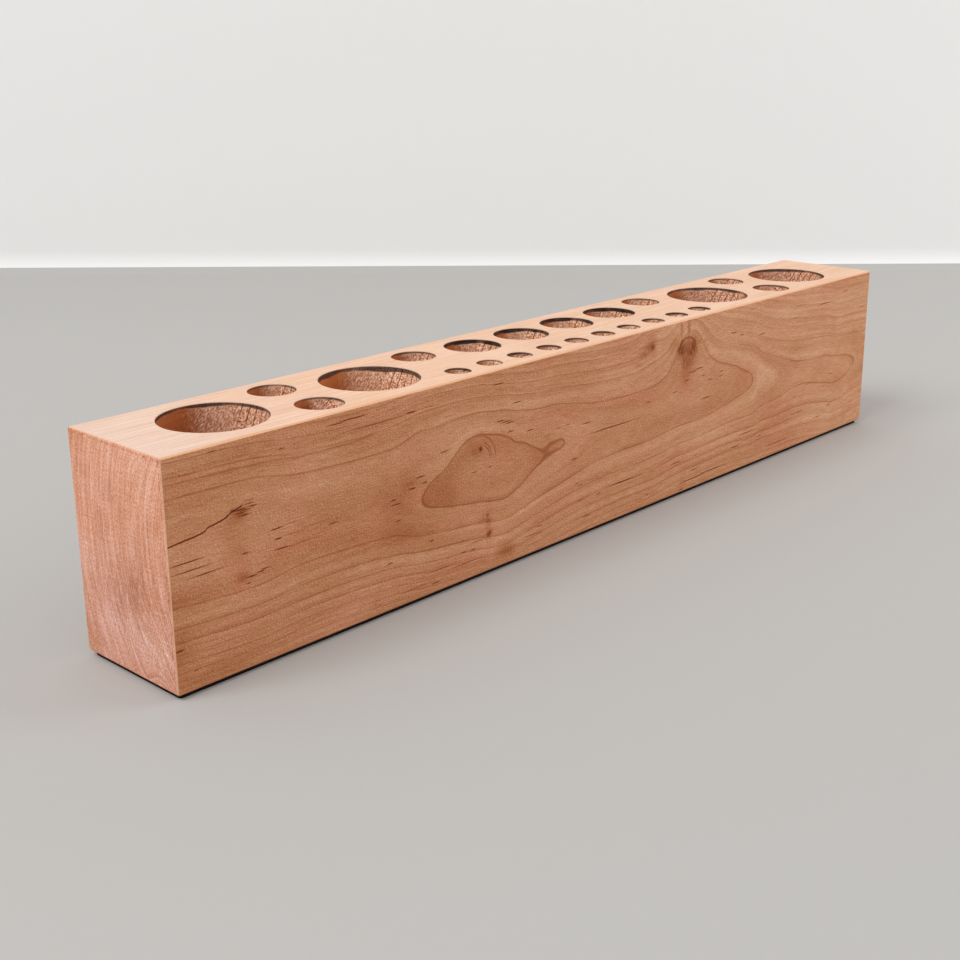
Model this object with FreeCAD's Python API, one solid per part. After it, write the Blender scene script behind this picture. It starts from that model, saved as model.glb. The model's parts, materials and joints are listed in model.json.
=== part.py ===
import FreeCAD, Part
import os

# Tool storage caddy: one solid hardwood block with blind sockets drilled into its top, standing on a
# thin black pad. Millimetres, +X along the length, -Y towards the front, +Z up. The origin is the
# middle of the pad's underside, where the caddy meets the table.

# Block
block_length = 472.0
block_width = 57.15
block_height = 87.3
top_edge_radius = 1.3
upright_edge_radius = 0.9
bottom_edge_radius = 1.5

# Pad, glued to the flat of the underside
pad_thickness = 1.6
pad_setback = 0.1  # from where the bottom edges begin to round
pad_corner_radius = 1.5

# Sockets: the bores are inch drill sizes, all run to one depth stop
socket_depth = 63.5
wide_bore = 41.275
handle_bore = 19.05
medium_bore = 25.4
fine_bore = 11.1125
drill_overrun = 2.0  # how far a cut begins above the top face

# Layout of the sockets: each margin runs from a face of the block to the middle of a bore
wide_end_margin = 42.325
wide_pitch = 76.2
handle_side_margin = 14.2875
medium_back_margin = 19.05
medium_pitch = 32.0
medium_count = 4
fine_front_margin = 10.7
fine_pitch = 18.9
fine_count = 10

block_top = pad_thickness + block_height


def row(pitch, count):
    """Places along X for a row of sockets centred on the block."""
    return [(i - (count - 1) / 2) * pitch for i in range(count)]


def socket_places():
    """(bore, x, y) of the middle of every socket."""
    front, back = -block_width / 2, block_width / 2
    outer_x = block_length / 2 - wide_end_margin
    inner_x = outer_x - wide_pitch
    handle_front_y = front + handle_side_margin
    handle_back_y = back - handle_side_margin
    places = []
    for end in (-1, 1):
        places.append((wide_bore, end * outer_x, 0.0))
        places.append((wide_bore, end * inner_x, 0.0))
        # Half a pitch in from the outer wide socket stands a pair, and from the inner one a single
        pair_x = end * (outer_x - wide_pitch / 2)
        single_x = end * (inner_x - wide_pitch / 2)
        places.append((handle_bore, pair_x, handle_front_y))
        places.append((handle_bore, pair_x, handle_back_y))
        places.append((handle_bore, single_x, handle_back_y))
    for x in row(medium_pitch, medium_count):
        places.append((medium_bore, x, back - medium_back_margin))
    for x in row(fine_pitch, fine_count):
        places.append((fine_bore, x, front + fine_front_margin))
    return places


def edge_radius(edge):
    """How far an edge of the plain block is rounded, by where it lies."""
    box = edge.BoundBox
    if box.ZLength > block_height / 2:
        return upright_edge_radius
    return top_edge_radius if box.ZMin > block_height / 2 else bottom_edge_radius


def eased_block():
    """The block before drilling, with all its edges rounded."""
    corner = FreeCAD.Vector(-block_length / 2, -block_width / 2, pad_thickness)
    document = FreeCAD.newDocument("caddy")
    blank = document.addObject("Part::Feature", "blank")
    blank.Shape = Part.makeBox(block_length, block_width, block_height, corner)
    eased = document.addObject("Part::Fillet", "eased")
    eased.Base = blank
    radii = [edge_radius(edge) for edge in blank.Shape.Edges]
    eased.Edges = [(number, radius, radius) for number, radius in enumerate(radii, 1)]
    document.recompute()
    return eased.Shape.Solids[0]


def make_timber_block():
    """The eased block with every socket drilled down into its top face."""
    floor_z = block_top - socket_depth
    drills = [
        Part.makeCylinder(bore / 2, socket_depth + drill_overrun, FreeCAD.Vector(x, y, floor_z))
        for bore, x, y in socket_places()
    ]
    return eased_block().cut(drills).Solids[0]


def make_base_pad():
    """A flat sheet with rounded corners, inside the rounding of the block's bottom edges."""
    inset = bottom_edge_radius + pad_setback
    length = block_length - 2 * inset
    width = block_width - 2 * inset
    sheet = Part.makeBox(length, width, pad_thickness, FreeCAD.Vector(-length / 2, -width / 2, 0))
    corners = [edge for edge in sheet.Edges if edge.BoundBox.ZLength > pad_thickness / 2]
    return sheet.makeFillet(pad_corner_radius, corners).Solids[0]


os.makedirs("parts", exist_ok=True)
nodes = {"timber_block": make_timber_block(), "base_pad": make_base_pad()}
for name, solid in nodes.items():
    solid.exportStep(f"parts/{name}.step")
    box = solid.BoundBox
    print(name, f"{box.XLength:.2f} x {box.YLength:.2f} x {box.ZLength:.2f} mm, {solid.Volume / 1000:.1f} cm3")
print(len(socket_places()), "sockets")
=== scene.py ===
# %% [markdown]
# # A drilled tool caddy
# The caddy is one block of pinkish hardwood with 24 blind sockets in its top, and it stands on a thin black
# pad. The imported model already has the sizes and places, so every piece here is built inside its box.
# What the model lacks is the look: eased edges that catch the light, drilled walls, and the timber itself.

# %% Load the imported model
import json
import math

import bpy
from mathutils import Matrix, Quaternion, Vector


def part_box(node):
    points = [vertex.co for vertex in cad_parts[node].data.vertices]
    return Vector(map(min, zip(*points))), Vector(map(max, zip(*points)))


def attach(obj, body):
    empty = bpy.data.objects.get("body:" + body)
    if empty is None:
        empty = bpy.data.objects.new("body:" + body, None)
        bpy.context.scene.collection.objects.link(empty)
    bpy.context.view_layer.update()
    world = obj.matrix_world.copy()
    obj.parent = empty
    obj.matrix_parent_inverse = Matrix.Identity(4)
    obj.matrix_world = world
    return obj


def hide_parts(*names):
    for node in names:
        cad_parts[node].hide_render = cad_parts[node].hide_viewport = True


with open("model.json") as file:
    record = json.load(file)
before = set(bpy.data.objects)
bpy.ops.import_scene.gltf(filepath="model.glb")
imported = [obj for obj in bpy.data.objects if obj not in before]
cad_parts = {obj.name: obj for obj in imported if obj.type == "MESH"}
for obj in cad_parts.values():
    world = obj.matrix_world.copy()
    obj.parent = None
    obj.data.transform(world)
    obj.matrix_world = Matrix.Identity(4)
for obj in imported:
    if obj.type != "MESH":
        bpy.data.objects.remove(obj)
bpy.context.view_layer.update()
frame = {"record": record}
block_low, block_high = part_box("timber_block")
pad_low, pad_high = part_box("base_pad")
millimetre = 0.001
print("block", [round(side / millimetre, 2) for side in block_high - block_low], "mm")

# %% [markdown]
# ## The camera
# A camera at the photograph's place comes first, because every later choice is judged through it. Its
# place, line of sight and lens were found by fitting the block's corners and the mouths of its sockets.

# %% Place the camera
camera_place = Vector((-0.4824, -0.4104, 0.2276))
line_of_sight = Vector((0.70095, 0.64943, -0.29481))
camera_roll = math.radians(-0.27)
focal_length = 52.67
film_width = 36.0
lens_shift = (-0.0230, -0.0328)

lens = bpy.data.cameras.new("photograph_view")
lens.lens = focal_length
lens.sensor_width = film_width
lens.shift_x, lens.shift_y = lens_shift
camera = bpy.data.objects.new("photograph_view", lens)
camera.location = camera_place
camera.rotation_mode = "QUATERNION"
upright_view = line_of_sight.to_track_quat("-Z", "Y")
camera.rotation_quaternion = upright_view @ Quaternion((0, 0, 1), camera_roll)
bpy.context.scene.collection.objects.link(camera)
bpy.context.scene.camera = camera
print("camera at", [round(v, 3) for v in camera.location])

# %% [markdown]
# ## The blank
# The block starts as a sawn blank, a box. On the real one every edge was eased with a few strokes of
# sandpaper, which leaves a narrow, nearly flat strip with crisp sides. One Bevel modifier can ease all
# twelve edges by their own amounts if each edge carries a bevel weight, a share of the widest easing, and
# it blends the corners where they meet. Its profile lies between 0.25, a flat chamfer, and 0.5, a round.

# %% Select by place
def make_active(piece):
    """Select one object alone, so that the next operator acts on nothing else."""
    bpy.ops.object.select_all(action="DESELECT")
    piece.select_set(True)
    bpy.context.view_layer.objects.active = piece


def pick(piece, element, test):
    """Enter edit mode with only the faces or edges selected whose middle and direction pass a test."""
    make_active(piece)
    bpy.ops.object.mode_set(mode="EDIT")
    bpy.ops.mesh.select_mode(type=element)
    bpy.ops.mesh.select_all(action="DESELECT")
    bpy.ops.object.mode_set(mode="OBJECT")
    mesh = piece.data
    if element == "FACE":
        for face in mesh.polygons:
            face.select = test(face.center, face.normal)
    else:
        for edge in mesh.edges:
            first, last = (mesh.vertices[index].co for index in edge.vertices)
            edge.select = test((first + last) / 2, (last - first).normalized())
    bpy.ops.object.mode_set(mode="EDIT")


def box_blank(name, low, high):
    """A closed box between two corners, with its place in its mesh."""
    bpy.ops.object.select_all(action="DESELECT")
    bpy.ops.mesh.primitive_cube_add(size=1, location=(low + high) / 2, scale=high - low)
    piece = bpy.context.object
    piece.name = name
    bpy.ops.object.transform_apply(location=True, rotation=False, scale=True)
    return piece


# %% Ease the edges of the blank
bottom_easing = 1.2 * millimetre
worn_easing = 2.1 * millimetre  # the widest: the bottom edges at the back and at the far end
top_easing = 0.95 * millimetre
end_top_easing = 0.4 * millimetre
upright_easing = 0.5 * millimetre
easing_profile = 0.36
easing_segments = 4

block = box_blank("drilled_block", block_low, block_high)
weights = block.data.attributes.new("bevel_weight_edge", "FLOAT", "EDGE")
middle_height = (block_low.z + block_high.z) / 2
for edge in block.data.edges:
    first, last = (block.data.vertices[index].co for index in edge.vertices)
    easing = upright_easing
    if min(first.z, last.z) > middle_height:
        runs_along_block = abs(last.x - first.x) > abs(last.y - first.y)
        easing = top_easing if runs_along_block else end_top_easing
    if max(first.z, last.z) < middle_height:
        is_worn = min(first.x, last.x) > 0 or min(first.y, last.y) > 0
        easing = worn_easing if is_worn else bottom_easing
    weights.data[edge.index].value = easing / worn_easing
make_active(block)
rounding = block.modifiers.new("eased edges", "BEVEL")
rounding.limit_method = "WEIGHT"
rounding.width = worn_easing
rounding.segments = easing_segments
rounding.profile = easing_profile
bpy.ops.object.modifier_apply(modifier=rounding.name)
print("eased blank:", len(block.data.polygons), "faces")

# %% [markdown]
# ## The sockets
# Each socket is bored with a flat-bottomed drill. The drill leaves a centre dimple in the floor, and light
# sanding breaks the sharp rim of the mouth. The easiest way to get all that in the wall is to model the
# space that the drill sweeps: a cylinder with its floor inset and pressed down, and its top flared out.
# One sweep is modelled for each of the four drills and copied to every socket of that size.

# %% Read where the sockets are
# Diameter of each kind of socket in millimetres
socket_bores = {"wide": 41.275, "medium": 25.4, "handle": 19.05, "fine": 11.1125}
socket_depth = 63.5 * millimetre

sockets = []
for opening in frame["record"]["physics"]["openings"]:
    words = opening["name"].split("_")
    is_whole_socket = len(words) == 3
    if is_whole_socket:
        low, high = opening["box_m"]
        sockets.append((words[0], (low[0] + high[0]) / 2, (low[1] + high[1]) / 2))
sockets.sort(key=lambda socket: socket[1])
print(len(sockets), "sockets")

# %% Model the sweep of each drill
rim_break = 0.45 * millimetre
drill_overrun = 2.0 * millimetre
dimple_radius = 2.2 * millimetre
dimple_depth = 1.4 * millimetre
dimple_tip = 0.15  # width of the dimple's bottom as a share of its mouth
rim_steps = ((0.6, 0.3), (0.4, 0.7))  # rise and spread of each part of the rim, as shares of the break
drill_sides = {"wide": 160, "medium": 112, "handle": 96, "fine": 64}


def push_out(height, spread, middle):
    """Extrude the selected face straight up or down, then spread it about the drill's axis."""
    bpy.ops.mesh.extrude_region_move(TRANSFORM_OT_translate={"value": (0, 0, height)})
    bpy.ops.transform.resize(value=(spread, spread, 1), center_override=middle)


def drill_sweep(kind):
    """The space that one drill clears, standing at the origin of the plan."""
    radius = socket_bores[kind] / 2 * millimetre
    floor = block_high.z - socket_depth
    wall = socket_depth - rim_break
    middle = Vector((0, 0, floor + wall / 2))
    bpy.ops.object.select_all(action="DESELECT")
    sides = drill_sides[kind]
    bpy.ops.mesh.primitive_cylinder_add(vertices=sides, radius=radius, depth=wall, location=middle)
    sweep = bpy.context.object
    sweep.name = kind + "_sweep"
    bpy.ops.object.transform_apply(location=True, rotation=False, scale=False)
    pick(sweep, "FACE", lambda centre, normal: normal.z < -0.9)
    bpy.ops.mesh.inset(thickness=radius - dimple_radius)
    push_out(-dimple_depth, dimple_tip, middle)
    bpy.ops.object.mode_set(mode="OBJECT")
    pick(sweep, "FACE", lambda centre, normal: normal.z > 0.9)
    for rise, spread in rim_steps:
        push_out(rim_break * rise, 1 + spread * rim_break / radius, middle)
    push_out(drill_overrun, 1, middle)
    bpy.ops.object.mode_set(mode="OBJECT")
    return sweep


sweeps = {kind: drill_sweep(kind) for kind in socket_bores}
print({kind: len(sweep.data.polygons) for kind, sweep in sweeps.items()}, "faces in each sweep")

# %% Copy a sweep to every socket
copies = []
for kind, x, y in sockets:
    make_active(sweeps[kind])
    bpy.ops.object.duplicate(linked=False)
    copy = bpy.context.object
    bpy.ops.transform.translate(value=(x, y, 0))
    copies.append(copy)
for sweep in sweeps.values():
    bpy.data.objects.remove(sweep)
bpy.ops.object.select_all(action="DESELECT")
for copy in copies:
    copy.select_set(True)
bpy.context.view_layer.objects.active = copies[0]
bpy.ops.object.join()
drilling = bpy.context.object
bpy.ops.object.transform_apply(location=True, rotation=True, scale=True)
print("drilling:", len(drilling.data.polygons), "faces")

# %% [markdown]
# Cutting needs a second material on the drilled faces. A Boolean hands the cutter's own material to the
# faces that it leaves behind, so the two materials are made now as empty names and filled in later.

# %% Bore the sockets
block_sharpest = math.radians(30)  # edges that bend more than this stay crisp

sanded_timber = bpy.data.materials.new("sanded_timber")
bored_timber = bpy.data.materials.new("bored_timber")
block.data.materials.append(sanded_timber)
drilling.data.materials.append(bored_timber)
make_active(block)
boring = block.modifiers.new("sockets", "BOOLEAN")
boring.operation = "DIFFERENCE"
boring.solver = "EXACT"
boring.material_mode = "TRANSFER"
boring.object = drilling
bpy.ops.object.modifier_apply(modifier=boring.name)
bpy.data.objects.remove(drilling)
bpy.ops.object.shade_smooth_by_angle(angle=block_sharpest)
flatness = block.modifiers.new("flat faces stay flat", "WEIGHTED_NORMAL")
flatness.keep_sharp = True
bpy.ops.object.modifier_apply(modifier=flatness.name)
print("bored block:", len(block.data.polygons), "faces in", len(block.data.materials), "materials")

# %% [markdown]
# The drills ran hot at the mouths: every socket has a burnished dark band just under its rim, high and
# almost black in the medium ones, a thin line in the fine ones, and faintest in those for handles. The
# whole walls of the wide sockets and of those for handles are also darker and browner, apart from one wide
# socket, which has a higher band instead. The shader can't know which drill cut a face, so each drilled
# face carries
# three numbers: the strength of its scorch, the height of the band and the browning, found from the socket
# whose wall it lies on.

# %% Write the scorch on the drilled faces
# Strength from 0 to 1, the height of the band in millimetres, and the browning from 0 to 1
scorch_of = {
    "wide": (0.88, 1.55, 0.6),
    "medium": (0.98, 2.0, 0.1),
    "handle": (0.8, 1.0, 0.4),
    "fine": (0.92, 1.15, 0.0),
}
clean_wide_scorch = (0.88, 2.1, 0.0)
clean_wide_socket = [socket for socket in sockets if socket[0] == "wide"][1]


def wall_distance_of(spot, socket):
    """How far a point lies from the wall of a socket."""
    kind, x, y = socket
    return abs(math.hypot(spot.x - x, spot.y - y) - socket_bores[kind] / 2 * millimetre)


layer_names = ("scorch_strength", "scorch_band", "browning")
layers = [block.data.attributes.new(name, "FLOAT", "FACE") for name in layer_names]
for face in block.data.polygons:
    if face.material_index:
        spot = face.center
        nearest = min(sockets, key=lambda socket: wall_distance_of(spot, socket))
        scorch = clean_wide_scorch if nearest is clean_wide_socket else scorch_of[nearest[0]]
        for layer, value in zip(layers, scorch):
            layer.data[face.index].value = value
print(sum(1 for face in block.data.polygons if face.material_index), "drilled faces marked")

# %% [markdown]
# ## The pad
# The pad is a sheet of thin black rubber, cut with rounded corners and glued under the block. Its cut edge
# isn't sharp: the knife rolls it slightly. A box with its uprights and then its rims beveled says both.

# %% Cut the pad
pad_corner = 1.5 * millimetre
pad_rim = 0.3 * millimetre
pad_sharpest = math.radians(40)

pad = box_blank("rubber_pad", pad_low, pad_high)
pick(pad, "EDGE", lambda centre, along: abs(along.z) > 0.9)
bpy.ops.mesh.bevel(offset=pad_corner, segments=6, affect="EDGES")
bpy.ops.object.mode_set(mode="OBJECT")
pick(pad, "EDGE", lambda centre, along: abs(along.z) < 0.1)
bpy.ops.mesh.bevel(offset=pad_rim, segments=2, affect="EDGES")
bpy.ops.object.mode_set(mode="OBJECT")
bpy.ops.object.shade_smooth_by_angle(angle=pad_sharpest)
print("pad:", len(pad.data.polygons), "faces")

# %% [markdown]
# ## Writing materials as sums
# Timber is a long calculation: distances from the heart of the tree, lines where growth stopped, fibres,
# flecks. Wired by hand it would be hundreds of loose nodes. This class wraps one output of a node, so that
# a line of Python such as 1 - mask adds the Math node for it, and node() adds every other kind.

# %% Shader maths in Python
class Signal:
    """One output of a shader node, or with no socket the start of a material's calculation."""

    def __init__(self, tree, socket=None):
        self.tree = tree
        self.socket = socket

    def node(self, kind, settings, inputs, output=0):
        """Add a node: its settings first, then the values or links of its sockets."""
        made = self.tree.nodes.new("ShaderNode" + kind)
        for name, value in settings.items():
            if name == "points":
                line = made.mapping.curves[0].points
                while len(line) < len(value):
                    line.new(0, 0)
                for point, place in zip(line, value):
                    point.location = place
                    point.handle_type = "AUTO_CLAMPED"
                made.mapping.update()
            else:
                setattr(made, name, value)
        for name, value in inputs.items():
            if isinstance(value, Signal):
                self.tree.links.new(value.socket, made.inputs[name])
            else:
                made.inputs[name].default_value = value
        return Signal(self.tree, made.outputs[output] if made.outputs else None)

    def output(self, name):
        """Another output of the same node."""
        return Signal(self.tree, self.socket.node.outputs[name])

    def math(self, operation, first, second=0.0):
        return self.node("Math", {"operation": operation}, {0: first, 1: second})

    def __add__(self, other):
        return self.math("ADD", self, other)

    __radd__ = __add__

    def __sub__(self, other):
        return self.math("SUBTRACT", self, other)

    def __rsub__(self, other):
        return self.math("SUBTRACT", other, self)

    def __mul__(self, other):
        return self.math("MULTIPLY", self, other)

    __rmul__ = __mul__

    def __truediv__(self, other):
        return self.math("DIVIDE", self, other)

    def __pow__(self, other):
        return self.math("POWER", self, other)

    def __rpow__(self, other):
        return self.math("POWER", other, self)

    def __abs__(self):
        return self.math("ABSOLUTE", self)

    def most(self, other):
        return self.math("MAXIMUM", self, other)

    def least(self, other):
        return self.math("MINIMUM", self, other)

    def step(self, low, high):
        """0 below low, 1 above high, and a smooth rise between. A low above high turns it round."""
        return self.node("MapRange", {"interpolation_type": "SMOOTHSTEP"}, {0: self, 1: low, 2: high})


def tone(red, green, blue):
    """A colour as it looks on a screen, 0 to 255, turned into the light that it stands for."""
    shares = [value / 255 for value in (red, green, blue)]
    return tuple(s / 12.92 if s < 0.04045 else ((s + 0.055) / 1.055) ** 2.4 for s in shares) + (1.0,)


def blend(share, under, over):
    """One colour over another by a share from 0 to 1."""
    return share.node("Mix", {"data_type": "RGBA"}, {0: share, 6: under, 7: over}, 2)


def scaled(vector, factors, shift=(0, 0, 0)):
    """A vector stretched by three factors, then shifted."""
    return vector.node("VectorMath", {"operation": "MULTIPLY_ADD"}, {0: vector, 1: factors, 2: shift})


def noise(vector, lengths, detail=2.0, roughness=0.5):
    """Cloudy noise whose blotches have these lengths along X, Y and Z."""
    stretched = scaled(vector, tuple(1 / length for length in lengths))
    inputs = {"Vector": stretched, "Scale": 1.0, "Detail": detail, "Roughness": roughness}
    return stretched.node("TexNoise", {}, inputs)


def turned(vector, angles):
    """A vector turned about X, Y and Z."""
    return vector.node("Mapping", {}, {"Vector": vector, "Rotation": angles})


print("a mid grey is", round(tone(128, 128, 128)[0], 3), "as light")

# %% [markdown]
# ## The tree inside the block
# A plank's figure is a cut through the tree's growth rings. The rings here are circles about a heart line
# that runs some way in front of the front face, so the front cuts them almost flat and shows long loops and
# ovals, while the ends cut them square and show close curved lines. Numbering the rings everywhere in the
# block, from the heart outwards, gives all the faces one figure that meets at the edges.
# The heart rises and falls along the block, and the rings grow thick and thin: two drawn curves. A few
# swells bulge the rings around knots and dips, which makes the closed ovals.

# %% Draw the heart line and the growth
heart_distance = 55.0
ring_width = 3.1
block_length = (block_high.x - block_low.x) / millimetre
block_height = (block_high.z - block_low.z) / millimetre

# Millimetres along the block, and the height of the heart line there
heart_height = [
    (0, 52.6), (30, 51.3), (60, 50.4), (100, 49.4), (122, 49.0), (150, 47.5), (162, 45.6), (175, 44.8),
    (212, 46.2), (263, 46.0), (300, 48.5), (330, 48.4), (347, 46.8), (364, 44.6), (381, 42.6),
    (406, 40.8), (431, 38.0), (443, 36.3), (456, 37.1), (472, 37.5),
]
# Millimetres along the block, and how many rings the count drops by there
growth = [
    (0, 1.13), (30, 1.20), (60, 0.88), (80, 0.84), (100, 0.95), (122, 1.43), (150, 1.62), (162, 1.64),
    (175, 1.44), (190, 1.13), (200, 1.01), (212, 0.79), (237, 0.51), (263, 0.47), (300, 0.50),
    (330, 0.33), (347, 0.11), (356, 0.0), (365, -0.33), (382, -0.58), (407, -0.80), (432, -0.75),
    (444, -0.78), (457, -0.90), (472, -1.05),
]
# Middle and reach of each swell in the front view, and how many rings it lifts the count by
swells = [
    ((15, 51), (34, 13), 0.36), ((108, 52), (14, 13), 0.42), ((129, 57), (13, 12), 0.60),
    ((175, 54.5), (13, 8), 0.22), ((190, 46.5), (7, 6), 0.095), ((206, 46.2), (4.5, 4.5), -0.105),
    ((117, 47.5), (7, 6), 0.13), ((184, 36), (8, 6), 0.09), ((185, 51), (6, 4), 0.05),
    ((300, 84), (17, 20), -2.4), ((269, 85), (10, 12), -1.0),
]
swell_depth = 60.0
# Past ring 0 the rings crowd: not at all at the first depth behind the front, fully at the second
crowding_share = 0.08
crowding_depths = (20, 4)
print(len(heart_height) + len(growth), "points drawn,", len(swells), "swells")


# %% Number the growth rings
class Timber:
    """The signals that both timber materials are made from."""


def curve(along, points):
    """A smooth line through given points of (millimetres along the block, value)."""
    first, last = points[0][0], points[-1][0]
    values = [value for _, value in points]
    low = min(values)
    span = max(values) - low
    stops = [((at - first) / (last - first), (value - low) / span) for at, value in points]
    share = (along - first) / (last - first)
    return share.node("FloatCurve", {"points": stops}, {"Value": share}) * span + low


def on_front(pair, depth):
    """A pair from the front view, along and up, with a depth put between."""
    return (pair[0], depth, pair[1])


def hump(place, middle, reach):
    """A smooth hill, 1 at its middle, with a middle and a reach in all three directions."""
    factors = tuple(1 / value for value in reach)
    offset = scaled(place, factors, tuple(-at / value for at, value in zip(middle, reach)))
    square = offset.node("VectorMath", {"operation": "DOT_PRODUCT"}, {0: offset, 1: offset}, "Value")
    return math.e ** (0 - square)


def pushed(place, lengths, amounts):
    """A place pushed about by noise whose three parts are separate, so that nothing runs dead straight."""
    drift = noise(place, lengths).output("Color")
    centred = place.node("VectorMath", {"operation": "SUBTRACT"}, {0: drift, 1: (0.5, 0.5, 0.5)})
    return place.node("VectorMath", {"operation": "MULTIPLY_ADD"}, {0: centred, 1: amounts, 2: place})


def read_timber(material):
    """Start a material: where a point lies in the block, in millimetres, and which way its face looks."""
    material.use_nodes = True
    material.node_tree.nodes.clear()
    start = Signal(material.node_tree)
    timber = Timber()
    spot = start.node("TexCoord", {}, {}, "Object")
    corner = tuple(-value / millimetre for value in block_low)
    timber.place = scaled(spot, (1 / millimetre,) * 3, corner)
    # A slow sway along the block, then a short wobble
    swayed = pushed(timber.place, (40, 9, 9), (0, 0.06, 1.2))
    timber.bent = pushed(swayed, (9, 2.5, 2.5), (1.5, 0.02, 0.35))
    timber.along = timber.bent.node("SeparateXYZ", {}, {0: timber.bent}, "X")
    timber.depth = timber.along.output("Y")
    timber.height = timber.along.output("Z")
    timber.facing = start.node("NewGeometry", {}, {}, "Normal")
    timber.facing_x = timber.facing.node("SeparateXYZ", {}, {0: timber.facing}, "X")
    timber.facing_y = timber.facing_x.output("Y")
    timber.facing_z = timber.facing_x.output("Z")
    return timber


def count_rings(timber):
    """Number the ring at each point, and how squarely the face cuts it, from 0 for flat to 1."""
    across = timber.depth + heart_distance
    rise = timber.height - curve(timber.along, heart_height)
    radius = (across * across + rise * rise) ** 0.5
    rings = (radius - heart_distance) / ring_width - curve(timber.along, growth)
    for middle, reach, lift in swells:
        rings = rings + hump(timber.place, on_front(middle, 0), on_front(reach, swell_depth)) * lift
    outer = rings.most(0)
    crowding = crowding_share * timber.depth.step(*crowding_depths)
    timber.rings = rings + outer * outer * crowding
    slant = (timber.facing_y * across + timber.facing_z * rise) / radius
    timber.squareness = (1 - slant * slant).most(0) ** 0.5


sanded = read_timber(sanded_timber)
count_rings(sanded)
print("ring field:", len(sanded_timber.node_tree.nodes), "nodes")

# %% [markdown]
# Growth stops in winter, and the last dark cells leave a thin line. Seen in the cut, each ring darkens
# slowly towards that line and is pale again just past it. The line takes up a larger share of its ring
# where the face cuts the rings square, since they lie closer together there.

# %% Draw the lines between rings
def mark_rings(timber):
    """The slow darkening within each ring, and the thin line that closes it."""
    within = timber.rings.math("FRACT", timber.rings)
    nearness = 0.5 - abs(within - 0.5)
    timber.late = within ** 4
    timber.line = nearness.step(0.017 + 0.12 * timber.squareness, 0.0)


mark_rings(sanded)
print("ring lines drawn")
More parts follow.
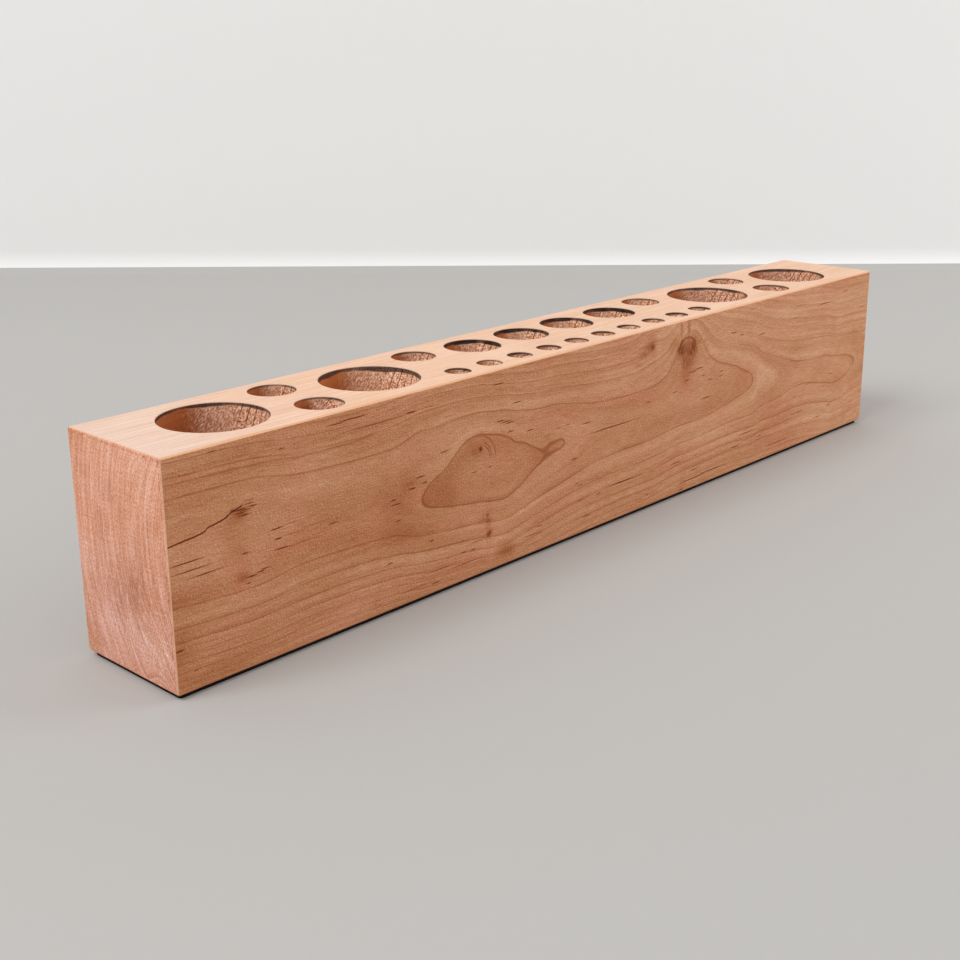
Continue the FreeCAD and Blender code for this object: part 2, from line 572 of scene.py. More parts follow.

# %% [markdown]
# ## Marks that the tree left
# The front carries short dark flecks, a split that runs in from the near end, two knots under the top edge
# and a few reddish stains. Each is placed in the front view, as millimetres along and up. A fleck is a thin
# ellipsoid, and the strongest of all flecks at a point is the mark there. The back, which is out of sight,
# gets stray flecks from the peaks of a stretched noise.

# %% Place the flecks
# From, to, height and darkness of each fleck
flecks = [
    (1, 14, 48.2, 0.9), (1, 17, 45.0, 0.65), (7, 22, 42.2, 0.6), (11, 18, 42.2, 0.9), (19, 22, 84.9, 0.7),
    (22, 28, 84.7, 0.3), (31, 32.8, 44.7, 0.7), (32, 36, 35.5, 0.9), (37, 39.5, 36.0, 0.8),
    (39, 42, 36.6, 0.7), (28, 33, 61.1, 0.9), (29, 33, 59.8, 0.6), (31, 35.5, 60.5, 0.6),
    (33, 36.5, 62.5, 0.6), (32, 33, 33.1, 0.8), (35, 37.4, 61.3, 0.8), (30.5, 34.5, 58.8, 0.7),
    (32, 38, 63.7, 0.4), (1, 3, 17.2, 1.0), (44, 48.5, 50.0, 1.0), (48, 58, 50.2, 0.3),
    (45.8, 47.8, 46.0, 1.0), (47, 60, 46.4, 0.35), (58, 69, 47.1, 0.3), (45, 51, 41.9, 0.95),
    (50, 69, 41.7, 0.35), (71, 74, 44.7, 0.6), (49.5, 51, 79.3, 0.6), (72, 80, 82.7, 0.7),
    (78, 91, 83.2, 0.9), (80, 112, 78.7, 0.5), (112, 116, 79.1, 1.0), (115, 132, 79.4, 0.3),
    (102.5, 104.5, 45.8, 0.9), (103, 107, 43.7, 0.8), (104.5, 106.5, 36.8, 0.8),
    (112.5, 114.7, 48.2, 0.9), (109, 116, 50.6, 0.3), (116, 120.5, 51.9, 0.8), (119.5, 121, 49.0, 0.9),
    (130, 134, 59.2, 0.7), (147.5, 150, 46.3, 0.6), (157.3, 158.7, 46.2, 0.6), (161, 166.5, 80.9, 0.8),
    (173, 177.5, 70.8, 0.8), (162.5, 167, 64.8, 0.7), (165.5, 170.5, 63.9, 0.9), (168.5, 173, 63.0, 0.8),
    (170, 172.5, 59.0, 0.7), (182, 185, 56.8, 0.8), (201, 203.5, 53.6, 0.5), (207.5, 209.5, 54.0, 0.6),
    (219, 224, 51.8, 0.8), (201, 204, 61.9, 0.3), (224, 256, 46.1, 0.8), (211, 215, 36.9, 0.7),
    (99.5, 101.5, 20.3, 0.8), (123, 124.2, 23.4, 0.8), (132, 133, 13.5, 0.4), (140.7, 143.5, 13.1, 0.6),
    (147, 149, 12.8, 0.7), (119, 137, 9.9, 0.5), (135, 152, 8.1, 0.5), (105, 124, 5.6, 0.4),
    (124, 127.5, 4.4, 0.8), (7.5, 8.7, 7.8, 0.5), (144, 157, 15.6, 0.4), (188, 191, 11.7, 0.7),
    (179, 189, 9.0, 0.6), (179, 189, 4.6, 0.35), (214, 216, 24.9, 0.6), (216, 219, 23.5, 0.5),
    (216, 219, 16.3, 0.6), (230, 231.7, 16.3, 0.9), (240, 259, 17.6, 0.9), (269, 274, 17.0, 0.35),
    (287, 294, 16.7, 0.7), (305, 309, 16.8, 0.4), (302.5, 309, 9.5, 0.7), (295, 314, 5.1, 0.8),
    (310, 332, 5.7, 0.8), (338, 345, 13.2, 0.8), (220, 225, 7.8, 0.8), (267, 269, 6.2, 0.6),
    (294.5, 296.5, 1.6, 0.7), (265.5, 268, 52.3, 0.7), (286, 289, 52.9, 0.7), (296, 299, 57.0, 0.8),
    (299.5, 305, 60.4, 0.8), (304, 311, 61.1, 0.7), (310.5, 312, 57.0, 0.7), (316, 318, 53.7, 0.7),
    (324.5, 328, 53.7, 0.6), (325.5, 328, 56.2, 0.7), (310, 318, 44.8, 0.7), (334, 336, 74.0, 0.7),
    (335, 339, 73.8, 0.6), (342.5, 345.5, 71.7, 0.7), (360.5, 365, 69.0, 0.8), (389, 399, 72.5, 0.5),
    (418, 432, 75.8, 0.7), (442.5, 448, 79.8, 0.5), (462, 470, 68.1, 0.6), (433.5, 437, 34.6, 0.6),
    (396.5, 407, 19.1, 0.6), (345, 360, 18.6, 0.7), (363, 367, 13.8, 0.6), (433.5, 436, 16.7, 0.6),
    (420, 427, 12.3, 0.6), (372, 392, 6.5, 0.55), (450, 458, 11.5, 0.35), (350, 355, 83.8, 0.35),
    (350, 360, 21.2, 0.35), (393, 404, 78.5, 0.35),
]
fleck_thickness = 0.37
fleck_depth = 4.0
# How far a fleck's faint tips reach past its dark part: a share of its half length, and a length
tip_share = 1.45
tip_length = 0.9


def mark_flecks(timber):
    """How dark the flecks make a point, from 0 to 1."""
    marks = None
    for start, end, height, darkness in flecks:
        reach = (end - start) / 2 * tip_share + tip_length
        middle = ((start + end) / 2 / reach, 0, height / fleck_thickness)
        factors = (1 / reach, 1 / fleck_depth, 1 / fleck_thickness)
        offset = scaled(timber.bent, factors, tuple(-value for value in middle))
        length = offset.node("VectorMath", {"operation": "LENGTH"}, {0: offset}, "Value")
        mark = (1 - length) * darkness
        marks = mark if marks is None else marks.most(mark)
    stray = noise(timber.bent, (9, 6, 0.8), 1.0).step(0.68, 0.76) * timber.depth.step(25, 45)
    timber.flecks = marks.step(0.0, 0.62).most(stray * 0.8)


mark_flecks(sanded)
print(len(flecks), "flecks")

# %% Draw the split and a second line in one ring
# Points along and up, and half the width of each line
split_line = [
    (0, 55.7), (6, 56.2), (12.5, 56.7), (15.5, 57.3), (17, 58.3), (20, 58.8), (23.5, 59.5), (26, 60.5),
    (27.3, 61.3), (29.5, 61.8), (31, 62.3), (32.5, 63.3),
]
split_half_width = 0.44
second_line = [(0, 77.5), (20, 77.0), (45, 75.8), (52, 75.0), (60, 74.1), (75, 73.9), (95, 74.8)]
second_half_width = 0.5


def drawn_line(timber, points, half_width):
    """A line on the front through given points, 1 along its middle."""
    first, last = points[0][0], points[-1][0]
    line = abs(timber.height - curve(timber.along, points)).step(half_width, half_width * 0.4)
    within = timber.along.step(last + 0.5, last - 2) * timber.along.step(first - 1, first)
    return line * within * timber.depth.step(2.0, 1.0)


sanded.split = drawn_line(sanded, split_line, split_half_width)
sanded.second = drawn_line(sanded, second_line, second_half_width)
print("split of", split_line[-1][0], "mm")

# %% Place the knots and the stains
# Middle, reach and strength of each soft brown patch: the two knots with their tails, and the pin knots
knots = [
    ((291.7, 72.8), (2.6, 3.0), 1.1), ((302.6, 72.8), (2.4, 4.0), 1.0), ((297, 73.4), (5.5, 4.0), 0.6),
    ((298.5, 67.5), (5.0, 4.6), 0.65), ((296, 60.5), (4.5, 5.0), 0.34), ((292.3, 77.3), (0.8, 0.7), 0.6),
    ((285.5, 77), (3.6, 4.2), 0.3), ((291.7, 83), (1.0, 4.5), 0.5), ((297.8, 83), (0.9, 4.5), 0.6),
    ((307, 74.6), (1.2, 0.8), 0.5), ((312, 74.2), (1.2, 0.8), 0.45), ((294, 66), (1.0, 3.0), 0.4),
    ((269.2, 78.6), (1.1, 1.5), 1.1), ((268, 78.4), (3.2, 2.4), 0.45), ((262.5, 75.4), (3.6, 1.2), 0.45),
    ((257.5, 71.6), (3.2, 1.0), 0.35), ((264, 79.2), (4.0, 0.8), 0.3), ((268, 83), (3.5, 2.5), 0.25),
    ((152.7, 55.4), (1.0, 0.85), 1.9), ((157.5, 17.1), (1.4, 1.1), 1.5), ((156.8, 25.6), (0.8, 0.7), 0.7),
    ((156.4, 22.9), (0.8, 0.7), 0.6), ((154.5, 24), (3.2, 2.0), 0.35), ((27.2, 61.3), (0.9, 0.8), 0.7),
    ((31, 60), (2.6, 1.3), 0.3), ((30.3, 36.2), (2.4, 1.6), 0.4),
]
# The same for the reddish stains
stains = [
    ((30.5, 59.7), (4.2, 2.8), 1.0), ((27, 52), (5.5, 7.0), 0.5), ((25, 44), (4.5, 4.0), 0.3),
    ((31, 44.5), (3.2, 4.0), 0.45), ((30, 36.5), (4.0, 3.0), 0.55), ((108, 44), (12, 11), 0.6),
    ((114.5, 50.3), (5, 2.2), 0.35), ((131, 41), (7, 8), 0.3), ((149.5, 54.8), (3.4, 2.2), 0.85),
    ((168, 6.8), (6, 3), 1.3), ((157.2, 20), (2, 6), 0.6), ((420, 38), (20, 6), 0.35),
    ((2, 14), (6, 7), 0.6), ((20, 5), (26, 4), 0.4), ((3, 22), (5, 4), 0.3), ((114, 31), (15, 4), 0.55),
    ((256, 52), (26, 6), 0.2), ((290, 48), (18, 7), 0.2), ((345, 47), (9, 6), 0.25),
    ((296, 4), (3, 3), 0.35), ((350, 43), (9, 5), 0.2), ((28, 80), (10, 5), 0.15),
    ((45, 38), (8, 4), 0.2), ((265, 77.6), (6, 4), 0.35), ((296, 72), (10, 9), 0.4),
    ((292, 58), (9, 7), 0.25),
]
# The same for the pale patches
pale_patches = [
    ((317, 67.5), (5, 1.6), 0.6), ((316, 61), (5, 2.5), 0.55), ((274, 79), (2.0, 4.5), 0.5),
    ((66, 72), (12, 3.5), 0.4), ((60, 55), (16, 5), 0.25), ((258, 72), (20, 4), 0.2),
    ((420, 62), (40, 14), 0.2), ((155, 66), (10, 3.5), 0.3), ((45, 24), (15, 3), 0.2),
    ((295, 82.5), (1.2, 1.5), 0.4),
]
patch_depth = 16.0


def patches(timber, places):
    """Soft patches on the front, added together."""
    total = 0
    for middle, reach, strength in places:
        total = total + hump(timber.bent, on_front(middle, 0), on_front(reach, patch_depth)) * strength
    return total


sanded.knots = patches(sanded, knots)
sanded.stains = patches(sanded, stains)
sanded.pale = patches(sanded, pale_patches)
print(len(knots), "knot patches,", len(stains), "stains,", len(pale_patches), "pale patches")

# %% Draw the arcs beside the pin knot
arc_middle = (151.0, 50.5)
arc_radii = (7.2, 8.3, 10.8)


def pin_arcs(timber):
    """Short curved lines on one side of the pin knot, where the fibres swerved."""
    right = timber.along - arc_middle[0]
    up = timber.height - arc_middle[1]
    distance = (right * right + up * up) ** 0.5
    arcs = 0
    for radius in arc_radii:
        arcs = arcs + abs(distance - radius).step(0.45, 0.1)
    return arcs * right.step(2.5, 5.5) * up.step(-0.5, 2.0) * timber.depth.step(3.0, 1.0)


sanded.arcs = pin_arcs(sanded)
print(len(arc_radii), "arcs")

# %% Draw the arch over the larger knot
arch_middle = (297.0, 74.6)
arch_reach = (5.9, 3.5)


def knot_arch(timber):
    """The dark line that closes the larger knot above."""
    right = (timber.along - arch_middle[0]) / arch_reach[0]
    up = (timber.height - arch_middle[1]) / arch_reach[1]
    distance = (right * right + up * up) ** 0.5
    return abs(distance - 1).step(0.2, 0.05) * up.step(-0.2, 0.4) * timber.depth.step(3.0, 1.0)


sanded.arch = knot_arch(sanded)
print("arch", 2 * arch_reach[0], "mm wide")

# %% [markdown]
# ## The sanded faces
# Side grain, top and end grain take light differently even on one block, so each has its own base colour,
# chosen by which way the face looks. The top is palest, and paler still towards the near end: part of that
# paleness is painted sheen, the window's reflection on the top seen at a low angle. The side grows lighter
# towards the far end, which is painted light. The rings, the marks and the fine grain could each be mixed
# in as a colour, but mixing turns dark wood grey. So each is a shade instead, a number about 1, and all of
# them are multiplied before they touch the colour.

# %% Give each face its base colour
# The side's far colour is lighter as painted light, and the top colours are paler partly as painted sheen
side_near = tone(198, 135, 93)
side_far_lit = tone(210, 151, 109)
side_pink = tone(206, 136, 99)
top_near_with_sheen = tone(228, 199, 184)
top_far_with_sheen = tone(233, 190, 160)
end_high = tone(231, 166, 136)
end_low = tone(219, 159, 135)


def base_colours(timber):
    """Where the ends and the top are, and the clouded base colour of every face, with painted sheen on the
    top and painted light towards the far end of the side.
    """
    timber.end = abs(timber.facing_x).step(0.5, 0.9)
    timber.top = timber.facing_z.step(0.5, 0.9)
    timber.side = 1 - timber.end.most(timber.top)
    share = timber.along / block_length
    side = blend(share, side_near, side_far_lit)
    side = blend(noise(timber.place, (45, 20, 16), 3.0).step(0.4, 0.7) * 0.6, side, side_pink)
    colour = blend(timber.top, side, blend(share.step(-0.1, 0.22), top_near_with_sheen, top_far_with_sheen))
    return blend(timber.end, colour, blend(timber.height.step(10, 80), end_low, end_high))


colour = base_colours(sanded)
print("base colours for the side, the top and the ends")

# %% Shade the rings
# Middle and reach of the upper far part, where the lines are hardly seen
calm_middle = (400, 0, 80)
calm_reach = (75, 40, 18)
# The share of the light that each takes away, or gives back in the pale patches
late_darkness = 0.12
oval_darkness = 0.06
patch_lightness = 0.16
line_darkness = 0.28


def ring_shade(timber):
    """Darker towards the line of each ring, more where the clouds say so, and least in the calm part."""
    calm = hump(timber.place, calm_middle, calm_reach)
    strength = (timber.side + 0.12 * timber.top + 0.35 * timber.end) * (1 - 0.7 * calm)
    fade = timber.rings.step(5.0, 0.5) * 0.5 + 0.5
    patchy = noise(timber.place, (30, 8, 8)).step(0.3, 0.65) * 0.62 + 0.38
    oval = timber.rings.step(-0.99, -1.05)
    outlined = patchy.most(timber.rings.step(-0.7, -0.95) * 1.2)
    shade = 1 - late_darkness * timber.late * patchy * strength
    shade = shade * (1 - oval_darkness * oval * timber.side)
    shade = shade * (1 + patch_lightness * timber.pale * timber.side)
    return shade * (1 - line_darkness * timber.line * fade * outlined * strength)


sanded.ring_shade = ring_shade(sanded)
print("rings shaded, with", len(sanded_timber.node_tree.nodes), "nodes so far")

# %% Shade the marks
border_inset = 1.4  # from the front and the top to the rubbed lines on the ends
# The share of the light that each kind of mark takes away
border_darkness = 0.26
stain_darkness = 0.26
knot_darkness = 0.52
darkest_knot = 0.6
second_darkness = 0.19
arc_darkness = 0.32
arch_darkness = 0.36
fleck_darkness = 0.76
split_darkness = 0.74


def rubbed_border(timber):
    """The broken dark lines on the ends, just inside their eased edges."""
    upright = abs(timber.depth - border_inset).step(0.4, 0.1)
    level = abs(timber.height - (block_height - border_inset)).step(0.5, 0.15)
    broken = noise(timber.place, (3.0, 2.6, 2.6), 2.0).step(0.42, 0.62)
    return upright.most(level) * broken * timber.end


def mark_shade(timber):
    """Stains, knots with ragged sides, thin dark marks, and the borders of the ends."""
    ragged = noise(timber.place, (0.9, 3.0, 3.0), 3.0, 0.6).step(0.3, 0.65) * 0.9 + 0.4
    stained = timber.stains * stain_darkness
    knotted = (timber.knots * ragged * knot_darkness).least(darkest_knot)
    lined = timber.second * second_darkness + timber.arcs * arc_darkness + timber.arch * arch_darkness
    thin = (timber.flecks * fleck_darkness).most(timber.split * split_darkness)
    side = timber.side
    shade = (1 - stained * side) * (1 - knotted * side) * (1 - lined * side) * (1 - thin * side)
    return shade * (1 - border_darkness * rubbed_border(timber))


sanded.mark_shade = mark_shade(sanded)
print("marks shaded")

# %% [markdown]
# The fine grain has fibres and clouds that run along the block, short slanting scratches left by the
# sandpaper and streaks that follow the rings. The ends add cut pores and two sets of straight sanding
# lines, one level and one leaning, and the top adds lines of its own. All are stretched noise, and together
# they are one more shade.

# %% Work the fine grain
scratch_slant = math.radians(24)
hatch_slant = math.radians(76)
darkest_grain = 0.4


def fine_grain(timber):
    """A shade for the colour, and the height of the fibres."""
    side, top, end = timber.side, timber.top, timber.end
    fibre = noise(timber.bent, (6, 0.45, 0.45), 3.0, 0.6)
    scratch = noise(turned(timber.place, (0, scratch_slant, 0)), (0.8, 0.26, 0.26), 2.0, 0.6)
    cloud = noise(timber.place, (50, 24, 24), 3.0)
    ring_place = {0: timber.along / 80, 1: timber.rings * 2.2, 2: timber.depth / 40 + timber.height / 30}
    grown = timber.rings.node("CombineXYZ", {}, ring_place)
    streak = grown.node("TexNoise", {}, {"Vector": grown, "Scale": 1.0, "Detail": 4.0, "Roughness": 0.6})
    pore = noise(timber.place, (0.7, 0.55, 0.9), 2.0)
    sanding = noise(timber.place, (900, 14, 0.35), 2.0)
    hatch = noise(turned(timber.place, (hatch_slant, 0, 0)), (900, 16, 0.4), 2.0)
    along_top = noise(timber.place, (40, 0.9, 0.9), 3.0)
    factor = 1 + (fibre - 0.5) * (0.65 * side + 0.12 * top) + (scratch - 0.5) * (1.5 * side + 0.3 * top)
    factor = factor + (cloud - 0.5) * (0.33 * side + 0.12 * top + 0.4 * end)
    factor = factor + (streak - 0.5) * (0.6 * side + 0.12 * top + 0.9 * end)
    factor = factor + (pore - 0.5) * 0.95 * end + (sanding + hatch - 1) * 0.4 * end
    factor = factor + (along_top - 0.5) * 0.45 * top
    return factor.most(darkest_grain), fibre


grain, fibre = fine_grain(sanded)
print("fine grain in", len(sanded_timber.node_tree.nodes), "nodes so far")

# %% [markdown]
# The near end has marks of its own: darker places about its middle and towards the top, and fine bright
# strokes, most of them near the lower front corner, where the saw left the grain bright.

# %% Shade the near end
# Place behind the front face and height, reach in both, and strength
end_shades = [
    ((23, 36), (6, 8), 0.35), ((31, 29), (10, 10), 0.4), ((49, 73), (3, 8), 0.35), ((34, 68), (5, 7), 0.3),
    ((18, 40), (4, 14), 0.25), ((40, 52), (3, 16), 0.2),
]
end_lights = [
    ((21, 20), (9, 8), 0.65), ((12, 7), (6, 6), 0.7), ((7, 15.5), (2.5, 5), 1.0), ((36, 18), (4, 4), 0.5),
    ((14, 60), (6, 18), 0.35),
]
end_dark = tone(172, 106, 80)
end_light = tone(248, 214, 196)
stroke_slant = math.radians(35)
end_patch_depth = 6


def end_patches(timber, places):
    """Soft patches on the near end, added together."""
    total = 0
    for middle, reach, strength in places:
        total = total + hump(timber.place, (0, *middle), (end_patch_depth, *reach)) * strength
    return total


def end_colours(timber, colour):
    """The darker places of the near end, and fine bright strokes where the saw went."""
    strokes = noise(turned(timber.place, (stroke_slant, 0, 0)), (900, 0.7, 9), 2.0).step(0.52, 0.66)
    ragged = noise(timber.place, (6, 2.0, 5), 3.0).step(0.3, 0.6)
    colour = blend(end_patches(timber, end_shades) * ragged * timber.end, colour, end_dark)
    return blend(end_patches(timber, end_lights) * strokes * timber.end, colour, end_light)


colour = end_colours(sanded, colour)
print(len(end_shades), "dark and", len(end_lights), "light places on the end")

# %% [markdown]
# Sanding the edges cut through the darkened skin, so the eased strips are paler than the faces beside them,
# and they also carry painted highlights where they catch the light: pinkish up the corners, peach along the
# top with a thin orange border. The orange along the bottom is painted bounce light from the floor. A strip
# is found by its normal, which looks along no axis.

# %% Finish the sanded faces
# Strip colours: paler sanded wood with painted highlights, and painted bounce light in the bottom strip
upright_strip_highlight = tone(236, 184, 154)
top_strip_highlight = tone(240, 188, 146)
border_strip = tone(234, 164, 112)
bottom_strip_bounce_light = tone(216, 136, 94)
# The powers of a shade that the green and the blue of the wood follow
green_power = 1.85
blue_power = 2.9
darkest_shade = 0.05


def shaded(colour, shade):
    """A colour under a shade that counts most in the blue and least in the red, as wood darkens."""
    factors = shade.node("CombineXYZ", {}, {0: shade, 1: shade ** green_power, 2: shade ** blue_power})
    return shade.node("VectorMath", {"operation": "MULTIPLY"}, {0: colour, 1: factors})


def worn_and_highlit_strips(timber, colour):
    """Paint the eased strips over the colour: paler sanded wood with painted highlights, and painted bounce
    light along the bottom.
    """
    widest = abs(timber.facing_x).most(abs(timber.facing_y)).most(abs(timber.facing_z))
    eased = (1 - widest).step(0.02, 0.16)
    strip = blend(timber.facing_z.step(0.15, 0.4), upright_strip_highlight, top_strip_highlight)
    strip = blend(timber.facing_z.step(0.7, 0.85), strip, border_strip)
    strip = blend(timber.facing_z.step(-0.15, -0.4), strip, bottom_strip_bounce_light)
    return blend(eased * 0.8, colour, strip)


def finish(base, rough, height, bump_strength, bump_distance, shine):
    """Close a material with one shader, its roughness and a bump whose distance is in millimetres."""
    relief = {"Strength": bump_strength, "Distance": bump_distance * millimetre, "Height": height}
    bump = height.node("Bump", {}, relief, "Normal")
    inputs = {"Base Color": base, "Roughness": rough, "Normal": bump, "Specular IOR Level": shine}
    shader = base.node("BsdfPrincipled", {}, inputs)
    shader.node("OutputMaterial", {}, {"Surface": shader})


shade = (sanded.ring_shade * sanded.mark_shade * grain).most(darkest_shade)
colour = worn_and_highlit_strips(sanded, shaded(colour, shade))
finish(colour, 0.5 + 0.14 * fibre, fibre, bump_strength=0.08, bump_distance=0.12, shine=0.22)
print("sanded timber:", len(sanded_timber.node_tree.nodes), "nodes")

# %% [markdown]
# ## The drilled walls
# Inside a socket the drill cut the same rings, but it tore them. Where the wall runs along the fibres it is
# smooth and orange. Where it crosses them the ring lines stand as slanting grooves, dark partly from the
# ring line and partly from painted shade. Between the two the drill cuts with the grain on one side and
# stays smooth, and against it on the other, where the fibres lift into rough flakes: their bright tops and
# dark pits are painted light and shade. How far the wall crosses the fibres is the length of its normal
# along the block, and the sign of the normal's two level parts, multiplied, tells with from against.

# %% Colour the drilled walls
smooth_colour = tone(192, 111, 56)
torn_colour = tone(239, 188, 151)
crossed_colour = tone(253, 197, 155)
# Dark brown for painted shade in pits and grooves, and for streaks in the smooth part
pit_shade_and_streak = tone(122, 60, 30)
flake_slant = math.radians(58)
darkest_flake_shade = 0.35


def written(timber, name):
    """A number that was written on the faces."""
    settings = {"attribute_type": "GEOMETRY", "attribute_name": name}
    return timber.facing.node("Attribute", settings, {}, "Fac")


def wall_colours(timber):
    """The smooth, the torn and the crossed parts of a wall, and how high the fibres stand."""
    crossing = abs(timber.facing_x)
    tear = noise(turned(timber.place, (0, flake_slant, 0)), (1.7, 0.8, 0.42), 3.0, 0.65)
    against = (timber.facing_x * timber.facing_y).step(-0.1, 0.05)
    crossed = crossing.step(0.75, 0.95)
    ragged = crossing + 0.8 * (tear - 0.5)
    rough = (ragged.step(0, 0.6) * against).most(crossed * 0.7)
    ridge = noise(timber.place, (9, 9, 0.5), 2.0)
    groove = timber.line * crossing.step(0.78, 0.95) * noise(timber.place, (3, 3, 4)).step(0.25, 0.45)
    colour = blend(rough, smooth_colour, torn_colour)
    colour = blend(crossed, colour, crossed_colour)
    colour = blend(ridge.step(0.5, 0.3) * 0.4 * (1 - rough), colour, pit_shade_and_streak)
    colour = blend(tear.step(0.4, 0.3) * 0.5 * rough, colour, pit_shade_and_streak)
    # Painted light and shade of the flakes: their tops lighter and their hollows darker in the colour
    relief = (tear - 0.5) * (0.3 + 2.3 * rough + 1.0 * crossed)
    colour = shaded(colour, (1 + relief).most(darkest_flake_shade))
    timber.tear = tear
    timber.lift = tear * (0.2 + rough) - groove
    colour = blend(groove * 0.9, colour, pit_shade_and_streak)
    browned = scaled(written(timber, "browning"), (-0.2, -0.3, -0.3), (1, 1, 1))
    return colour.node("VectorMath", {"operation": "MULTIPLY"}, {0: colour, 1: browned})


bored = read_timber(bored_timber)
count_rings(bored)
mark_rings(bored)
colour = wall_colours(bored)
print("drilled walls:", len(bored_timber.node_tree.nodes), "nodes")

# %% [markdown]
# The scorch sits on top, just under the rim. Its lower side is ragged, and the burnished wood is smoother
# than the rest, so it also shines a little, and grey patches of painted sheen lie in the band. Above it the
# broken rim shows clean pale wood with a painted highlight.

# %% Scorch the mouths
scorch_dark = tone(32, 21, 20)
# Grey for patches of painted sheen in the band; the rim colour is clean wood with a painted highlight
scorch_sheen_grey = tone(86, 68, 64)
pale_rim_highlight = tone(240, 205, 180)


def scorch_colours(timber, colour):
    """Lay the scorch with patches of painted sheen, and the pale rim with a painted highlight, over a wall,
    and say where it is burnt.
    """
    below = block_height - timber.place.node("SeparateXYZ", {}, {0: timber.place}, "Z")
    strength = written(timber, "scorch_strength")
    band = written(timber, "scorch_band")
    uneven = noise(timber.place, (12, 12, 12)) - 0.5
    edge = band * (1 + 1.4 * uneven) + 1.8 * (timber.tear - 0.5)
    burnt = below.step(edge + 0.3, edge - 0.2) * strength * (1 + uneven).least(1)
    sheen = noise(timber.place, (5, 5, 0.6)).step(0.45, 0.65) * 0.7
    colour = blend(burnt, colour, blend(sheen, scorch_dark, scorch_sheen_grey))
    return blend(below.step(0.5, 0.3) * 0.85, colour, pale_rim_highlight), burnt


colour, burnt = scorch_colours(bored, colour)
lift = bored.lift * (1 - burnt)
finish(colour, 0.6 - 0.28 * burnt, lift, bump_strength=0.6, bump_distance=0.4, shine=0.3)
print("bored timber:", len(bored_timber.node_tree.nodes), "nodes")

# %% [markdown]
# ## The rubber
# Black sheet rubber is never quite black or even: it has a fine pebbled skin and a little grey dust in it.

# %% Finish the pad
rubber_black = tone(22, 18, 16)
rubber_dusty = tone(44, 39, 36)
pebble_size = 0.6 * millimetre
dust_size = 20 * millimetre

pad_rubber = bpy.data.materials.new("pad_rubber")
pad_rubber.use_nodes = True
pad_rubber.node_tree.nodes.clear()
start = Signal(pad_rubber.node_tree)
spot = start.node("TexCoord", {}, {}, "Object")
pebble = noise(spot, (pebble_size,) * 3, 2.0)
dust = noise(spot, (dust_size,) * 3, 3.0)
base = blend(dust.step(0.4, 0.8) * 0.35, rubber_black, rubber_dusty)
finish(base, 0.7 + 0.15 * pebble, pebble, bump_strength=0.4, bump_distance=0.08, shine=0.12)
pad.data.materials.append(pad_rubber)
print("rubber:", len(pad_rubber.node_tree.nodes), "nodes")

# %% [markdown]
# ## Floor, wall and light
# The caddy stands on a plain pale grey floor in front of a plain white wall. One sheet serves for both: a
# large plane whose far edge is pulled up into a wall. It is turned to face the camera.

# %% Lay the floor and raise the wall
floor_reach = 2.6
wall_distance = 1.30
wall_height = 1.6
cove = 0.02
cove_sharpest = math.radians(30)
foot = Vector((0, wall_distance, 0))  # the middle of the line where the floor meets the wall

level_sight = Vector((line_of_sight.x, line_of_sight.y, 0)).normalized()
turn = math.atan2(level_sight.y, level_sight.x) - math.pi / 2
bpy.ops.object.select_all(action="DESELECT")
bpy.ops.mesh.primitive_plane_add(size=2 * floor_reach, location=(0, 0, 0))
floor = bpy.context.object
floor.name = "floor_and_wall"
pick(floor, "EDGE", lambda centre, along: centre.y > floor_reach * 0.9)
bpy.ops.transform.translate(value=(0, wall_distance - floor_reach, 0))
bpy.ops.mesh.extrude_region_move(TRANSFORM_OT_translate={"value": (0, 0, wall_height)})
bpy.ops.object.mode_set(mode="OBJECT")
pick(floor, "EDGE", lambda centre, along: (centre - foot).length < millimetre)
bpy.ops.mesh.bevel(offset=cove, segments=6, affect="EDGES")
bpy.ops.object.mode_set(mode="OBJECT")
floor.rotation_euler = (0, 0, turn)
floor.location = (camera_place.x, camera_place.y, 0)
bpy.ops.object.transform_apply(location=True, rotation=True, scale=True)
bpy.ops.object.shade_smooth_by_angle(angle=cove_sharpest)
floor_grey = tone(186, 184, 181)
wall_white = tone(243, 242, 241)


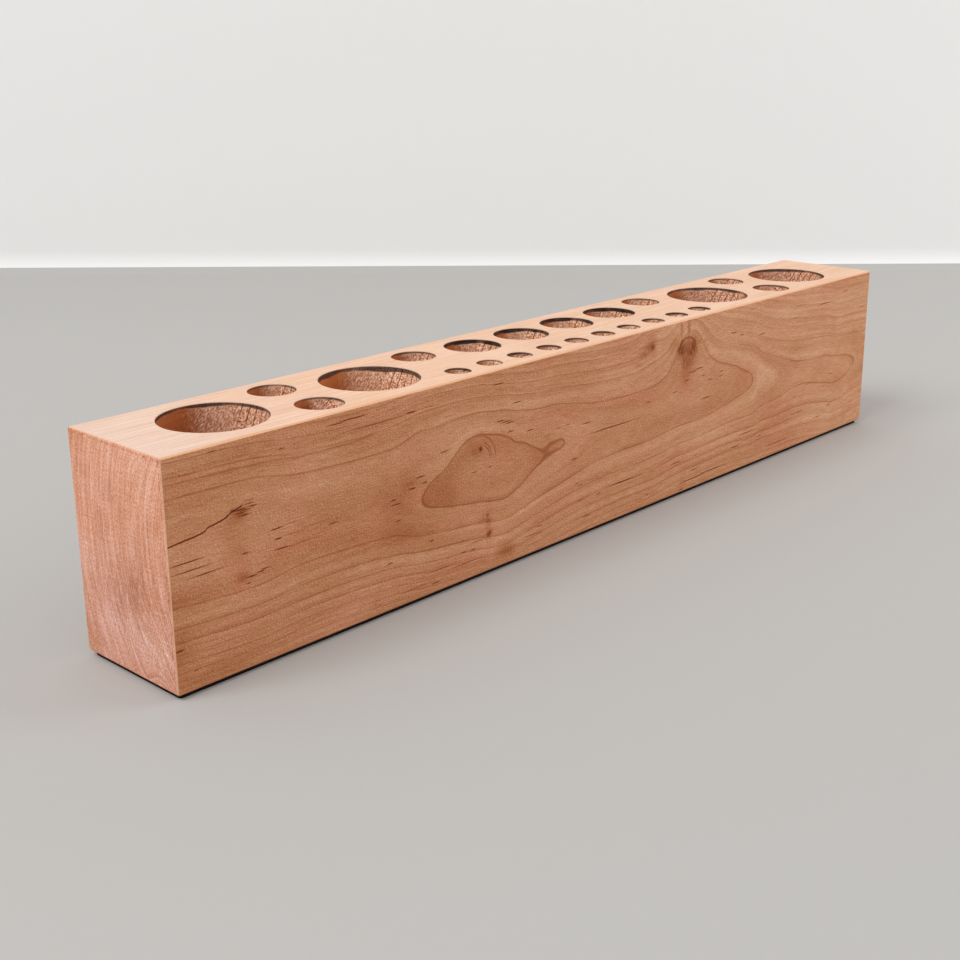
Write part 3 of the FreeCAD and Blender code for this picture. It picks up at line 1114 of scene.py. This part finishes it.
def plain(name, colour):
    """A plain matt paint."""
    material = bpy.data.materials.new(name)
    material.use_nodes = True
    shader = material.node_tree.nodes["Principled BSDF"]
    shader.inputs["Base Color"].default_value = colour
    shader.inputs["Roughness"].default_value = 0.9
    shader.inputs["Specular IOR Level"].default_value = 0.1
    return material


floor.data.materials.append(plain("pale_floor", floor_grey))
floor.data.materials.append(plain("white_wall", wall_white))
for face in floor.data.polygons:
    is_wall = face.normal.z < 0.7
    face.material_index = 1 if is_wall else 0
print("floor and wall:", len(floor.data.polygons), "faces")

# %% [markdown]
# Daylight is a bright sky from everywhere and one large window. The sky is an even white world, and the
# window is an area lamp to the left and above, so the near end and the top are brightest, the front is in
# soft shade, and the shadow falls behind the far end. A weak lamp from the right stands for the light that
# a room throws back, and lifts the far half of the front.

# %% Light the scene
sky_strength = 0.64
lamp_target = Vector((0, 0, 0.05))
# Place, size in metres and strength in watts of each lamp
lamps = {
    "window": ((-1.85, 0.24, 2.35), 1.5, 40.0),
    "room": ((1.3, -0.9, 0.6), 0.9, 9.0),
}

world = bpy.data.worlds.new("even_sky")
bpy.context.scene.world = world
world.use_nodes = True
world.node_tree.nodes["Background"].inputs["Color"].default_value = (1, 1, 1, 1)
world.node_tree.nodes["Background"].inputs["Strength"].default_value = sky_strength
for name, (place, size, watts) in lamps.items():
    light = bpy.data.lights.new(name, "AREA")
    light.shape = "SQUARE"
    light.size = size
    light.energy = watts
    lamp = bpy.data.objects.new(name, light)
    lamp.location = place
    lamp.rotation_mode = "QUATERNION"
    lamp.rotation_quaternion = (lamp_target - lamp.location).to_track_quat("-Z", "Y")
    bpy.context.scene.collection.objects.link(lamp)
bpy.context.scene.view_settings.view_transform = "Standard"
print("sky of", sky_strength, "and", len(lamps), "lamps")

# %% [markdown]
# ## The body
# Both pieces ride on the one body and stand for their solids, whose imported parts are hidden. A dressed
# part may not outgrow its model.

# %% Tie the pieces to the model
for piece, node, finish_name in ((block, "timber_block", "timber"), (pad, "base_pad", "pad")):
    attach(piece, "root")
    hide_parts(node)
